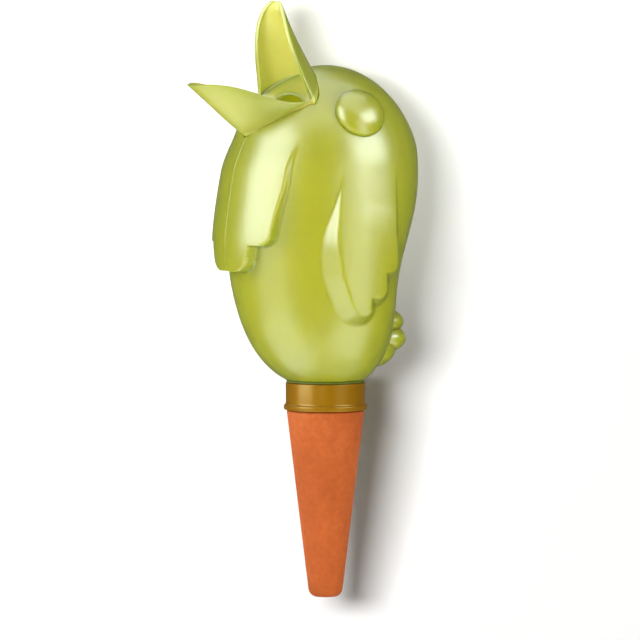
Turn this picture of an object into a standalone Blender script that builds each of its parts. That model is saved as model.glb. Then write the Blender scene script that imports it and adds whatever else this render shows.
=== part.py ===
"""Bird-shaped watering spike: a hollow bird with a pouring beak, plugged on a porous clay cone.

Lengths are metres. The origin is on the axis at the clay cone's shoulder, +Z is up,
the bird faces -Y and its left side is +X.
"""

import math

import bmesh
import bpy
from mathutils import Matrix, Vector

MM = 0.001
DEG = math.radians(1.0)

# Gaps between pieces that seat on or slide in each other
FIT_GAP = 0.3 * MM
BEAK_GAP = 0.4 * MM
PLUG_CLEARANCE = 0.5 * MM

# Clay cone
CONE_LENGTH = 88.0 * MM
CONE_TOP_RADIUS = 18.3 * MM
CONE_TIP_RADIUS = 7.6 * MM
CONE_TIP_ROUND = 6.5 * MM
CONE_SHOULDER_ROUND = 1.2 * MM
CONE_WALL = 5.0 * MM
CONE_FLOOR = 11.0 * MM
PLUG_WALL = 5.0 * MM
CLAY_EDGE_ROUND = 0.8 * MM

# Rubber ring that grips the clay plug
RING_SECTION_RADIUS = 0.75 * MM
RING_HEIGHT = 6.2 * MM

# Collar between the bird and the cone
COLLAR_RADIUS = 18.7 * MM
COLLAR_WALL = 1.8 * MM
COLLAR_TOP = 13.2 * MM
COLLAR_SHELF = 1.2 * MM
COLLAR_LIP_FLARE = 0.9 * MM
COLLAR_LIP_HEIGHT = 2.2 * MM
NECK_TUBE_RADIUS = 14.7 * MM
NECK_TUBE_WALL = 1.7 * MM
SNAP_REACH = 1.1 * MM
SNAP_HEIGHT = 2.4 * MM

# Flat washer under the bird
GASKET_THICKNESS = 0.7 * MM
GASKET_INSET = 0.4 * MM

# Bird shell
BODY_HEIGHT = 147.8 * MM
BODY_WALL = 2.0 * MM
BODY_FLOOR = 3.0 * MM
FRONT_REACH = 48.7 * MM
FRONT_WIDEST = 98.7 * MM
FRONT_FULLNESS = 2.45
SIDE_REACH = 46.0 * MM
SIDE_WIDEST = 101.0 * MM
SIDE_FULLNESS = 2.4
BACK_REACH = 42.8 * MM
BACK_WIDEST = 121.0 * MM
BACK_FULLNESS = 2.25
RUMP_HOLLOW = 10.5 * MM
RUMP_HOLLOW_HEIGHT = 64.3 * MM
RUMP_HOLLOW_SPREAD = 18.3 * MM

# Eyes
EYE_HEIGHT = 141.5 * MM
EYE_ANGLE = 88.0 * DEG
EYE_RADIUS = 12.2 * MM
EYE_RISE = 6.5 * MM

# Chest bib: corners of its front view as (x, z, rounding)
BIB_RISE = 6.8 * MM
BIB_UPPER_RISE = 2.0 * MM
BIB_FADE_TOP = 131.0 * MM
BIB_FADE_LOW = 117.0 * MM
BIB_FULL = 72.0 * MM
BIB_DRAFT = 0.22
BIB_TOP = BIB_FADE_TOP + 9.0 * MM
BIB_HALF = [
    (26.0 * MM, BIB_TOP, 6.0 * MM),
    (26.8 * MM, 110.0 * MM, 40.0 * MM),
    (26.0 * MM, 80.8 * MM, 7.0 * MM),
    (16.4 * MM, 80.2 * MM, 1.4 * MM),
    (13.2 * MM, 66.8 * MM, 8.5 * MM),
]

# Wings: corners of the crest in side view as (y, z, rounding), from the top of the front edge round
WING_RISE = 6.0 * MM
WING_EYE_GAP = 22.8 * MM
WING_FADE_TOP = EYE_HEIGHT - EYE_RADIUS - WING_EYE_GAP
WING_FADE_LENGTH = 38.0 * MM
WING_FADE_POWER = 1.6
WING_WALL_SLOPE = 0.8
WING_TOP = WING_FADE_TOP + 14.0 * MM
WING_CORNERS = [
    (-14.0 * MM, WING_TOP, 8.0 * MM),
    (-20.4 * MM, 83.0 * MM, 40.0 * MM),
    (-18.4 * MM, 65.0 * MM, 30.0 * MM),
    (-12.6 * MM, 47.3 * MM, 8.5 * MM),
    (-1.2 * MM, 47.3 * MM, 5.6 * MM),
    (-2.5 * MM, 55.5 * MM, 1.0 * MM),
    (6.2 * MM, 55.5 * MM, 5.4 * MM),
    (4.4 * MM, 67.6 * MM, 1.0 * MM),
    (12.0 * MM, 67.6 * MM, 5.6 * MM),
    (10.6 * MM, 88.0 * MM, 30.0 * MM),
    (14.0 * MM, WING_TOP, 8.0 * MM),
]

# Tail lobes: (y, z, half width, half depth, half height)
TAIL_LOBES = [
    (29.0 * MM, 41.0 * MM, 14.0 * MM, 10.6 * MM, 6.6 * MM),
    (29.5 * MM, 33.2 * MM, 15.0 * MM, 11.0 * MM, 7.4 * MM),
    (22.0 * MM, 28.5 * MM, 16.0 * MM, 13.0 * MM, 9.5 * MM),
]

# Beak: side views of the rims and of the outer spines as cubic control points (y, z)
BEAK_WALL = 1.8 * MM
BEAK_HALF_WIDTH = 24.0 * MM
MOUTH_CORNER = (-21.8 * MM, 147.5 * MM)
UPPER_TAPER = 1.25
UPPER_TIP_FULLNESS = 0.6
UPPER_ARC_FULLNESS = 1.45
UPPER_RIM = [(-23.7 * MM, 157.0 * MM), (-33.5 * MM, 179.5 * MM)]
UPPER_TIP = (-26.7 * MM, 193.6 * MM)
UPPER_SPINE = [(-8.8 * MM, 160.2 * MM), (-12.0 * MM, 164.5 * MM), (-21.5 * MM, 179.0 * MM)]
LOWER_TAPER = 1.5
LOWER_TIP_FULLNESS = 0.5
LOWER_ARC_FULLNESS = 1.4
LOWER_RIM = [(-38.0 * MM, 146.0 * MM), (-57.0 * MM, 156.5 * MM)]
LOWER_TIP = (-74.1 * MM, 155.0 * MM)
LOWER_SPINE = [(-44.5 * MM, 131.0 * MM), (-50.9 * MM, 134.9 * MM), (-63.0 * MM, 145.9 * MM)]
OUTLET_HALF_WIDTH = 16.0 * MM
OUTLET_HALF_HEIGHT = 10.0 * MM
OUTLET_CENTRE = (-19.5 * MM, 139.3 * MM)
OUTLET_SQUARENESS = 2.3

# Mesh steps
RING_STEPS = 36
BODY_STEPS = 44
CAVITY_STEPS = 32
BEAK_STEPS = 14
PAD_ARC = 4
TURNED_ARC = 2
BEAK_ROWS = (0.0, 0.12, 0.26, 0.42, 0.58, 0.73, 0.86, 0.94, 0.985)

# Heights and radii that follow from the sizes above
COLLAR_BORE = COLLAR_RADIUS - COLLAR_WALL
PLUG_RADIUS = COLLAR_BORE - PLUG_CLEARANCE
PLUG_TOP = COLLAR_TOP - COLLAR_SHELF - FIT_GAP
GASKET_LOW = COLLAR_TOP + FIT_GAP
BODY_BOTTOM = GASKET_LOW + GASKET_THICKNESS + FIT_GAP
BODY_TOP = BODY_BOTTOM + BODY_HEIGHT
NECK_HOLE = NECK_TUBE_RADIUS + FIT_GAP
SNAP_LOW = BODY_BOTTOM + BODY_FLOOR + FIT_GAP

MATERIALS = {
    "shell_green": ((0.62, 0.66, 0.06), 0.38),
    "beak_green": ((0.58, 0.68, 0.05), 0.12),
    "collar_green": ((0.42, 0.34, 0.05), 0.15),
    "rubber_dark": ((0.05, 0.05, 0.05), 0.85),
    "rubber_green": ((0.16, 0.22, 0.03), 0.8),
    "terracotta": ((0.64, 0.17, 0.05), 0.9),
}


def clear_scene():
    for obj in list(bpy.data.objects):
        bpy.data.objects.remove(obj, do_unlink=True)


def material(name):
    colour, roughness = MATERIALS[name]
    made = bpy.data.materials.new(name)
    made.use_nodes = True
    shader = made.node_tree.nodes["Principled BSDF"]
    shader.inputs["Base Color"].default_value = (*colour, 1.0)
    shader.inputs["Roughness"].default_value = roughness
    shader.inputs["Metallic"].default_value = 0.0
    return made


def object_from(bm, name):
    """Turn a bmesh into a scene object whose faces point outwards."""
    bmesh.ops.recalc_face_normals(bm, faces=bm.faces[:])
    mesh = bpy.data.meshes.new(name)
    bm.to_mesh(mesh)
    bm.free()
    obj = bpy.data.objects.new(name, mesh)
    bpy.context.scene.collection.objects.link(obj)
    return obj


def combine(target, other, operation):
    """Apply one exact Boolean to the target and remove the other object."""
    modifier = target.modifiers.new(operation.lower(), "BOOLEAN")
    modifier.operation = operation
    modifier.solver = "EXACT"
    modifier.object = other
    graph = bpy.context.evaluated_depsgraph_get()
    graph.update()
    mesh = bpy.data.meshes.new_from_object(target.evaluated_get(graph))
    target.modifiers.clear()
    target.data = mesh
    bpy.data.objects.remove(other, do_unlink=True)
    return target


def rounded(corners, arc_steps):
    """Polygon points of an outline whose corners (u, v, rounding) are rounded by arcs."""
    points = []
    count = len(corners)
    for i, (u, v, radius) in enumerate(corners):
        here = Vector((u, v))
        if radius <= 0.0:
            points.append(here)
            continue
        before = (Vector(corners[i - 1][:2]) - here)
        after = (Vector(corners[(i + 1) % count][:2]) - here)
        half = before.angle(after) / 2.0
        reach = radius / math.tan(half)
        reach = min(reach, 0.49 * before.length, 0.49 * after.length)
        start = here + before.normalized() * reach
        end = here + after.normalized() * reach
        for step in range(arc_steps + 1):
            t = step / arc_steps
            weight = math.sin(half)
            a, b, c = (1 - t) ** 2, 2 * t * (1 - t) * weight, t ** 2
            points.append((start * a + here * b + end * c) / (a + b + c))
    return points


def offset_corners(corners, distance):
    """The same outline with every side moved outwards, for corners listed clockwise or not."""
    area = 0.0
    count = len(corners)
    for i in range(count):
        u0, v0, _ = corners[i - 1]
        u1, v1, _ = corners[i]
        area += u0 * v1 - u1 * v0
    turn = 1.0 if area > 0.0 else -1.0
    moved = []
    for i, (u, v, radius) in enumerate(corners):
        here = Vector((u, v))
        into = (here - Vector(corners[i - 1][:2])).normalized()
        away = (Vector(corners[(i + 1) % count][:2]) - here).normalized()
        side_in = Vector((into.y, -into.x)) * turn
        side_out = Vector((away.y, -away.x)) * turn
        middle = side_in + side_out
        shift = middle * (2.0 * distance / middle.length_squared)
        convex = (into.x * away.y - into.y * away.x) * turn > 0.0
        grown = radius + distance if convex else radius - distance
        moved.append((*(here + shift), max(grown, 0.4 * MM)))
    return moved


def revolve(name, outline, steps=RING_STEPS):
    """Solid of revolution about Z from a closed outline of (radius, height) points."""
    bm = bmesh.new()
    columns = []
    for radius, height in outline:
        if radius < 1e-7:
            columns.append([bm.verts.new((0.0, 0.0, height))] * steps)
            continue
        column = []
        for step in range(steps):
            angle = 2.0 * math.pi * step / steps
            column.append(bm.verts.new((radius * math.cos(angle), radius * math.sin(angle), height)))
        columns.append(column)
    for i, column in enumerate(columns):
        previous = columns[i - 1]
        for step in range(steps):
            after = (step + 1) % steps
            corners = [previous[step], previous[after], column[after], column[step]]
            corners = list(dict.fromkeys(corners))
            if len(corners) > 2:
                bm.faces.new(corners)
    return object_from(bm, name)


def smooth(value):
    """Ease from 0 to 1 with level ends."""
    value = min(max(value, 0.0), 1.0)
    return value * value * (3.0 - 2.0 * value)


def meridian(height, reach, widest, fullness, grow):
    """Distance of one body outline from the axis: a dome above its widest height, a bowl below."""
    if height >= widest:
        share = (height - widest) / (BODY_TOP + grow - widest)
        return (reach + grow) * math.sqrt(max(1.0 - share * share, 0.0))
    neck_share = (COLLAR_RADIUS / reach) ** fullness
    depth = (widest - BODY_BOTTOM) / (1.0 - neck_share) ** (1.0 / fullness) + grow
    share = min((widest - height) / depth, 1.0)
    return (reach + grow) * (1.0 - share ** fullness) ** (1.0 / fullness)


def body_section(height, grow):
    """Half width, half length and forward lean of the egg's level section."""
    front = meridian(height, FRONT_REACH, FRONT_WIDEST, FRONT_FULLNESS, grow)
    side = meridian(height, SIDE_REACH, SIDE_WIDEST, SIDE_FULLNESS, grow)
    back = meridian(height, BACK_REACH, BACK_WIDEST, BACK_FULLNESS, grow)
    spread = (height - RUMP_HOLLOW_HEIGHT) / RUMP_HOLLOW_SPREAD
    back -= RUMP_HOLLOW * math.exp(-0.5 * spread * spread)
    return side, 0.5 * (front + back), 0.5 * (front - back)


def body_point(angle, height, grow=0.0):
    """Point of the egg-shaped body; angle 0 is the front and 90 degrees the bird's left side."""
    side, middle, lean = body_section(height, grow)
    cosine = math.cos(angle)
    return Vector((side * math.sin(angle), -middle * cosine - lean * cosine * cosine, height))


def body_side(y, height):
    """Distance of the egg's side from the middle plane, at one y and height."""
    side, middle, lean = body_section(height, 0.0)
    cosine = 0.0
    for _ in range(6):
        cosine = -(y + lean * cosine * cosine) / middle
    return side * math.sqrt(max(1.0 - cosine * cosine, 0.0))


def body_normal(angle, height):
    step = 0.5 * MM
    along = body_point(angle + 0.01, height) - body_point(angle - 0.01, height)
    upward = body_point(angle, height + step) - body_point(angle, height - step)
    return along.cross(upward).normalized()


def body_form(name, heights, grow_at, steps):
    """Closed body of egg sections at the given heights, grown by grow_at(height)."""
    bm = bmesh.new()
    rings = []
    for height in heights:
        ring = []
        for step in range(steps):
            angle = 2.0 * math.pi * step / steps
            ring.append(bm.verts.new(body_point(angle, height, grow_at(height))))
        rings.append(ring)
    for low, high in zip(rings, rings[1:]):
        for step in range(steps):
            after = (step + 1) % steps
            bm.faces.new((low[step], low[after], high[after], high[step]))
    bm.faces.new(rings[0])
    bm.faces.new(rings[-1])
    return object_from(bm, name)


def egg_heights(low, high, below, above):
    """Heights from the flat bottom to just under the crown, closer together at both ends."""
    middle = SIDE_WIDEST
    lower = [middle - (middle - low) * math.sin(0.5 * math.pi * (1 - i / below)) for i in range(below)]
    upper = [middle + (high - middle) * math.sin(0.5 * math.pi * i / above) for i in range(above)]
    return lower + upper + [middle + (high - middle) * 0.9995]


def bib_rise(height):
    upper = BIB_UPPER_RISE + 0.5 * MM
    fade = upper * smooth((height - BIB_FADE_LOW) / (BIB_FADE_TOP - BIB_FADE_LOW)) * 1.4
    drop = (BIB_RISE - BIB_UPPER_RISE) * smooth((BIB_FADE_LOW - height) / (BIB_FADE_LOW - BIB_FULL))
    return BIB_UPPER_RISE + drop - fade


def wing_rise(height):
    """Height of the wing over the egg; it goes on under the skin above the fade."""
    share = min((WING_FADE_TOP - height) / WING_FADE_LENGTH, 1.0)
    if share < 0.0:
        return WING_RISE * WING_FADE_POWER * share
    return WING_RISE * (1.0 - (1.0 - share) ** WING_FADE_POWER)


def prism(name, outline, draft, place, near, middle, far):
    """Closed prism between depths near and far; its outline is true at the middle depth."""
    bm = bmesh.new()
    loops = []
    for depth in (near, far):
        moved = offset_corners(outline, (middle - depth) * draft)
        loops.append([bm.verts.new(place(u, v, depth)) for u, v in rounded(moved, PAD_ARC)])
    count = len(loops[0])
    for i in range(count):
        after = (i + 1) % count
        bm.faces.new((loops[0][i], loops[0][after], loops[1][after], loops[1][i]))
    bm.faces.new(loops[0])
    bm.faces.new(loops[1])
    return object_from(bm, name)


def bib_pad(inset, steps):
    """Raised chest bib, or its hollow when inset by the wall."""
    left = [(-x, z, r) for x, z, r in reversed(BIB_HALF)]
    outline = offset_corners(BIB_HALF + left, -inset)
    low = min(z for _, z, _ in BIB_HALF) - 8.0 * MM
    heights = [low + (BIB_FADE_TOP + 6.0 * MM - low) * i / 14 for i in range(15)]
    pad = body_form("bib_pad", heights, lambda z: bib_rise(z) - inset, steps)
    crest = FRONT_REACH + 0.5 * BIB_RISE
    far = FRONT_REACH + BIB_RISE + 2.0 * MM
    near = 20.0 * MM
    stencil = prism("bib_stencil", outline, BIB_DRAFT, lambda u, v, d: (u, -d, v), near, crest, far)
    return combine(pad, stencil, "INTERSECT")


def wing_stencil(side, inset):
    """Cutter round one wing: its sloped wall follows the egg, from under the skin to over the crest."""
    sink, over, spread = 4.0 * MM, 1.0 * MM, 10.0 * MM
    corners = offset_corners(WING_CORNERS, -inset)
    crest = rounded(corners, PAD_ARC)
    wide = rounded(offset_corners(corners, spread), PAD_ARC)
    deep, low, high, far = [], [], [], []
    for here, outer in zip(crest, wide):
        rise = max(wing_rise(here.y), 0.0)
        foot = here.lerp(outer, WING_WALL_SLOPE * (rise + sink) / spread)
        head = here.lerp(outer, -WING_WALL_SLOPE * over / spread)
        deep.append((0.5 * SIDE_REACH, foot))
        low.append((body_side(*foot) - sink, foot))
        high.append((body_side(*head) + rise + over, head))
        far.append((SIDE_REACH + WING_RISE + 8.0 * MM, head))
    bm = bmesh.new()
    loops = []
    for loop in (deep, low, high, far):
        loops.append([bm.verts.new((side * x, place.x, place.y)) for x, place in loop])
    for first, second in zip(loops, loops[1:]):
        bridge(bm, first, second)
    bm.faces.new(loops[0])
    bm.faces.new(loops[-1])
    return object_from(bm, "wing_stencil")


def wing_pad(side, inset, steps):
    """Raised wing on one side (+1 or -1), or its hollow when inset by the wall."""
    low = min(z for _, z, _ in WING_CORNERS) - 12.0 * MM
    heights = [low + (WING_FADE_TOP + 4.0 * MM - low) * i / 16 for i in range(17)]
    pad = body_form("wing_pad", heights, lambda z: wing_rise(z) - inset, steps)
    return combine(pad, wing_stencil(side, inset), "INTERSECT")


def ellipsoid(name, centre, radii, turn, around, along):
    bm = bmesh.new()
    shape = Matrix.Translation(centre) @ turn.to_4x4() @ Matrix.Diagonal((*radii, 1.0))
    bmesh.ops.create_uvsphere(bm, u_segments=around, v_segments=along, radius=1.0, matrix=shape)
    return object_from(bm, name)


def eye_dome(side):
    angle = side * EYE_ANGLE
    centre = body_point(angle, EYE_HEIGHT)
    turn = Vector((0.0, 0.0, 1.0)).rotation_difference(body_normal(angle, EYE_HEIGHT)).to_matrix()
    return ellipsoid("eye_dome", centre, (EYE_RADIUS, EYE_RADIUS, EYE_RISE), turn, 28, 12)


def tail_lobe(index):
    y, z, half_width, half_depth, half_height = TAIL_LOBES[index]
    radii = (half_width, half_depth, half_height)
    return ellipsoid("tail_lobe", Vector((0.0, y, z)), radii, Matrix.Identity(3), 22, 12)


def bird_form(name, inset, floor, steps, below, above):
    """Egg with its raised bib and wings, drawn in by the inset."""
    heights = egg_heights(floor, BODY_TOP - inset, below, above)
    form = body_form(name, heights, lambda z: -inset, steps)
    combine(form, bib_pad(inset, steps), "UNION")
    for side in (1, -1):
        combine(form, wing_pad(side, inset, steps), "UNION")
    return form


def cubic(points, t):
    a, b, c, d = (Vector(p) for p in points)
    s = 1.0 - t
    return a * s ** 3 + b * 3 * s * s * t + c * 3 * s * t * t + d * t ** 3


def beak_arc(upper, t, grow):
    """Half section of one mandible, from the bird's left rim over the spine to its right rim."""
    if upper:
        rim = cubic([MOUTH_CORNER, *UPPER_RIM, UPPER_TIP], t)
        spine = cubic([*UPPER_SPINE, UPPER_TIP], t)
        half_width = BEAK_HALF_WIDTH * (1.0 - t ** UPPER_TAPER) ** UPPER_TIP_FULLNESS + grow
        power = 2.0 / UPPER_ARC_FULLNESS
    else:
        rim = cubic([MOUTH_CORNER, *LOWER_RIM, LOWER_TIP], t)
        spine = cubic([*LOWER_SPINE, LOWER_TIP], t)
        half_width = BEAK_HALF_WIDTH * (1.0 - t ** LOWER_TAPER) ** LOWER_TIP_FULLNESS + grow
        power = 2.0 / LOWER_ARC_FULLNESS
    depth = (spine - rim)
    depth = depth + depth.normalized() * grow
    arc = []
    for step in range(BEAK_STEPS + 1):
        angle = math.pi * step / BEAK_STEPS
        cosine = math.cos(angle)
        y, z = rim + depth * math.sin(angle) ** power
        arc.append(Vector((half_width * math.copysign(abs(cosine) ** power, cosine), y, z)))
    return arc


def mouth_axis():
    """Unit direction out of the mouth, square to the mouth's own ring."""
    top, low = Vector(UPPER_SPINE[0]), Vector(LOWER_SPINE[0])
    along = (top - low).normalized()
    return Vector((0.0, -along.y, along.x))


def mouth_ring(t, grow):
    """Closed loop round the mouth: over the upper mandible, then back under the lower one."""
    over = beak_arc(True, t, grow)
    under = beak_arc(False, t, grow)
    left, right = (over[end].lerp(under[end], 0.5) for end in (0, -1))
    return [left] + over[1:-1] + [right] + under[-2:0:-1]


def outlet_loop(grow):
    """Closed loop round the outlet through which water falls into the bird."""
    power = 2.0 / OUTLET_SQUARENESS
    loop = []
    for step in range(2 * BEAK_STEPS):
        angle = math.pi * step / BEAK_STEPS
        cosine, sine = math.cos(angle), math.sin(angle)
        x = math.copysign(abs(cosine) ** power, cosine) * (OUTLET_HALF_WIDTH + grow)
        z = math.copysign(abs(sine) ** power, sine) * (OUTLET_HALF_HEIGHT + grow)
        loop.append(Vector((x, OUTLET_CENTRE[0], OUTLET_CENTRE[1] + z)))
    return loop


def between(first, second, share):
    return [a.lerp(b, share) for a, b in zip(first, second)]


def bridge(bm, first, second):
    """Faces between two loops of the same length, closed round."""
    count = len(first)
    for i in range(count):
        after = (i + 1) % count
        bm.faces.new((first[i], first[after], second[after], second[i]))


def strip(bm, first, second):
    """Faces between two open rows of the same length."""
    for i in range(len(first) - 1):
        bm.faces.new((first[i], first[i + 1], second[i + 1], second[i]))


def beak_funnel():
    """Funnel beak: throat wall with its outlet, and two mandibles that open from one ring."""
    bm = bmesh.new()
    inward = -mouth_axis() * BEAK_WALL

    def add(loop):
        return [bm.verts.new(point) for point in loop]

    outer_ring = mouth_ring(0.0, 0.0)
    inner_ring = mouth_ring(0.0, -BEAK_WALL)
    mouth_edge = outlet_loop(0.0)
    body_edge = [point + inward for point in mouth_edge]
    low_ring = [point + inward for point in outer_ring]
    outer = [add(outer_ring), add(low_ring), add(between(low_ring, body_edge, 0.5)), add(body_edge)]
    inner = [add(inner_ring), add(between(inner_ring, mouth_edge, 0.5)), add(mouth_edge)]
    for loops in (outer, inner):
        for first, second in zip(loops, loops[1:]):
            bridge(bm, first, second)
    bridge(bm, outer[-1], inner[-1])
    for upper in (True, False):
        skins = []
        for ring, grow in ((outer[0], 0.0), (inner[0], -BEAK_WALL)):
            start = ring[: BEAK_STEPS + 1]
            if not upper:
                start = [ring[0]] + ring[:BEAK_STEPS - 1:-1]
            rows = [start]
            for t in BEAK_ROWS[1:]:
                rows.append(add(beak_arc(upper, t, grow)))
            for first, second in zip(rows, rows[1:]):
                strip(bm, first, second)
            skins.append(rows)
        for end in (0, -1):
            strip(bm, [row[end] for row in skins[0]], [row[end] for row in skins[1]])
        strip(bm, skins[0][-1], skins[1][-1])
    return object_from(bm, "beak_funnel")


def mouth_cutter():
    """Plug that clears the bird's shell for the beak, one beak gap larger all round."""
    bm = bmesh.new()
    inward = -mouth_axis() * (BEAK_WALL + BEAK_GAP)
    ring = mouth_ring(0.0, BEAK_GAP)
    floor = [point + inward for point in outlet_loop(BEAK_GAP)]
    low_ring = [point + inward for point in ring]
    loops = [floor, between(low_ring, floor, 0.5), low_ring, ring]
    loops += [mouth_ring(t, BEAK_GAP) for t in BEAK_ROWS[1:4]]
    rows = [[bm.verts.new(point) for point in loop] for loop in loops]
    for first, second in zip(rows, rows[1:]):
        bridge(bm, first, second)
    for row in (rows[0], rows[-1]):
        centre = sum((v.co for v in row), Vector()) / len(row)
        hub = bm.verts.new(centre)
        for i in range(len(row)):
            bm.faces.new((row[i], row[(i + 1) % len(row)], hub))
    return object_from(bm, "mouth_cutter")


def bird_body():
    body = bird_form("bird_body", 0.0, BODY_BOTTOM, BODY_STEPS, 13, 11)
    for side in (1, -1):
        combine(body, eye_dome(side), "UNION")
    for index in range(len(TAIL_LOBES)):
        combine(body, tail_lobe(index), "UNION")
    cavity = bird_form("cavity", BODY_WALL, BODY_BOTTOM + BODY_FLOOR, CAVITY_STEPS, 9, 8)
    combine(body, cavity, "DIFFERENCE")
    low, high = BODY_BOTTOM - 5.0 * MM, BODY_BOTTOM + BODY_FLOOR + 2.0 * MM
    hole = revolve("neck_hole", [(0.0, low), (NECK_HOLE, low), (NECK_HOLE, high), (0.0, high)])
    combine(body, hole, "DIFFERENCE")
    combine(body, mouth_cutter(), "DIFFERENCE")
    return body


def clay_cone():
    groove_depth = PLUG_RADIUS - (COLLAR_BORE - 2.0 * FIT_GAP - 2.0 * RING_SECTION_RADIUS)
    groove_half = RING_SECTION_RADIUS + FIT_GAP
    bore = PLUG_RADIUS - PLUG_WALL
    slope = (CONE_TOP_RADIUS - CONE_TIP_RADIUS) / CONE_LENGTH
    floor_radius = CONE_TIP_RADIUS + slope * CONE_FLOOR - CONE_WALL
    outline = [
        (0.0, -CONE_LENGTH, 0.0),
        (CONE_TIP_RADIUS, -CONE_LENGTH, CONE_TIP_ROUND),
        (CONE_TOP_RADIUS, 0.0, CONE_SHOULDER_ROUND),
        (PLUG_RADIUS, 0.0, 0.0),
        (PLUG_RADIUS, RING_HEIGHT - groove_half, 0.0),
        (PLUG_RADIUS - groove_depth, RING_HEIGHT - groove_half, 0.0),
        (PLUG_RADIUS - groove_depth, RING_HEIGHT + groove_half, 0.0),
        (PLUG_RADIUS, RING_HEIGHT + groove_half, 0.0),
        (PLUG_RADIUS, PLUG_TOP, CLAY_EDGE_ROUND),
        (bore, PLUG_TOP, CLAY_EDGE_ROUND),
        (bore, -2.0 * MM, 6.0 * MM),
        (floor_radius, CONE_FLOOR - CONE_LENGTH, 0.8 * floor_radius),
        (0.0, CONE_FLOOR - CONE_LENGTH, 0.0),
    ]
    return revolve("clay_cone", rounded(outline, TURNED_ARC))


def cone_seal_ring():
    middle = COLLAR_BORE - FIT_GAP - RING_SECTION_RADIUS
    outline = []
    for step in range(10):
        angle = 2.0 * math.pi * step / 10
        radius = middle + RING_SECTION_RADIUS * math.cos(angle)
        outline.append((radius, RING_HEIGHT + RING_SECTION_RADIUS * math.sin(angle)))
    return revolve("cone_seal_ring", outline)


def neck_collar():
    tube_bore = NECK_TUBE_RADIUS - NECK_TUBE_WALL
    flare = COLLAR_RADIUS + COLLAR_LIP_FLARE
    snap = NECK_TUBE_RADIUS + SNAP_REACH
    outline = [
        (COLLAR_BORE, FIT_GAP, 0.3 * MM),
        (flare, FIT_GAP, 0.7 * MM),
        (flare, FIT_GAP + COLLAR_LIP_HEIGHT, 0.7 * MM),
        (COLLAR_RADIUS, FIT_GAP + 1.5 * COLLAR_LIP_HEIGHT, 1.0 * MM),
        (COLLAR_RADIUS, COLLAR_TOP, 0.4 * MM),
        (NECK_TUBE_RADIUS, COLLAR_TOP, 0.0),
        (NECK_TUBE_RADIUS, SNAP_LOW, 0.0),
        (snap, SNAP_LOW, 0.3 * MM),
        (NECK_TUBE_RADIUS, SNAP_LOW + SNAP_HEIGHT, 0.4 * MM),
        (tube_bore, SNAP_LOW + SNAP_HEIGHT, 0.4 * MM),
        (tube_bore, COLLAR_TOP - COLLAR_SHELF, 0.0),
        (COLLAR_BORE, COLLAR_TOP - COLLAR_SHELF, 0.0),
    ]
    return revolve("neck_collar", rounded(outline, TURNED_ARC))


def neck_gasket():
    inner, outer = NECK_HOLE, COLLAR_RADIUS - GASKET_INSET
    low, high = GASKET_LOW, GASKET_LOW + GASKET_THICKNESS
    return revolve("neck_gasket", [(inner, low), (outer, low), (outer, high), (inner, high)])


def main():
    clear_scene()
    pieces = [
        (clay_cone(), "terracotta"),
        (cone_seal_ring(), "rubber_dark"),
        (neck_collar(), "collar_green"),
        (neck_gasket(), "rubber_green"),
        (bird_body(), "shell_green"),
        (beak_funnel(), "beak_green"),
    ]
    for obj, finish in pieces:
        obj.data.materials.clear()
        obj.data.materials.append(material(finish))


main()
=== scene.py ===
"""Looks of the bird-shaped watering spike: fine meshes, materials, backdrop, lights and camera.

Lengths are metres in the part's frame: origin at the clay cone's shoulder, +Z up,
the bird faces -Y and its left side is +X.
"""

import math

import bmesh
import bpy
import numpy as np
from mathutils import Matrix, Vector


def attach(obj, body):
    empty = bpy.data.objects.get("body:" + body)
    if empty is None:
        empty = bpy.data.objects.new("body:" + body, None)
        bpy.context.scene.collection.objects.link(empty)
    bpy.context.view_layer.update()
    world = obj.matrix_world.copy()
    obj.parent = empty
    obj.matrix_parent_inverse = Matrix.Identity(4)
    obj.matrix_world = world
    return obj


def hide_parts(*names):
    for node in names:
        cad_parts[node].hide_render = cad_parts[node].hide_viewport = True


MM = 0.001

# Clay cone, its plug and its hollow
CONE_LENGTH = 88.0 * MM
CONE_TOP_RADIUS = 18.3 * MM
CONE_SHOULDER_ROUND = 1.2 * MM
CONE_TIP_RADIUS = 7.6 * MM
CONE_TIP_ROUND = 6.5 * MM
PLUG_RADIUS = 16.4 * MM
PLUG_BORE = 11.4 * MM
PLUG_TOP = 11.7 * MM
CLAY_EDGE_ROUND = 0.8 * MM
BORE_LOW = -2.0 * MM
BORE_LOW_ROUND = 6.0 * MM
HOLLOW_FLOOR = -77.0 * MM
HOLLOW_FLOOR_RADIUS = 3.9 * MM
HOLLOW_FLOOR_ROUND = 3.0 * MM

# Rubber ring and its groove in the plug
RING_HEIGHT = 6.2 * MM
RING_RADIUS = 15.85 * MM
RING_SECTION_RADIUS = 0.75 * MM
RING_SECTION_STEPS = 16
GROOVE_RADIUS = 14.8 * MM
GROOVE_HALF = 1.05 * MM
GROOVE_ROUND = 0.2 * MM

# Collar: wall, flared lip, and tube with its snap edge
COLLAR_RADIUS = 18.7 * MM
COLLAR_BORE = 16.9 * MM
COLLAR_LOW = 0.3 * MM
COLLAR_TOP = 13.2 * MM
COLLAR_SHELF = 12.0 * MM
COLLAR_EDGE_ROUND = 0.3 * MM
COLLAR_TOP_ROUND = 0.5 * MM
LIP_RADIUS = 19.6 * MM
LIP_HIGH = 2.4 * MM
LIP_END = 3.4 * MM
LIP_LOW_ROUND = 0.8 * MM
LIP_HIGH_ROUND = 0.9 * MM
LIP_END_ROUND = 1.2 * MM
TUBE_RADIUS = 14.7 * MM
TUBE_BORE = 13.0 * MM
TUBE_END_ROUND = 0.4 * MM
SNAP_RADIUS = 15.8 * MM
SNAP_LOW = 17.8 * MM
SNAP_HIGH = 20.2 * MM
SNAP_ROUND = 0.3 * MM

GASKET_RADIUS = 18.3 * MM
GASKET_LOW = 13.35 * MM
GASKET_HIGH = 14.35 * MM
GASKET_INNER_ROUND = 0.15 * MM
GASKET_OUTER_ROUND = 0.2 * MM

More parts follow.
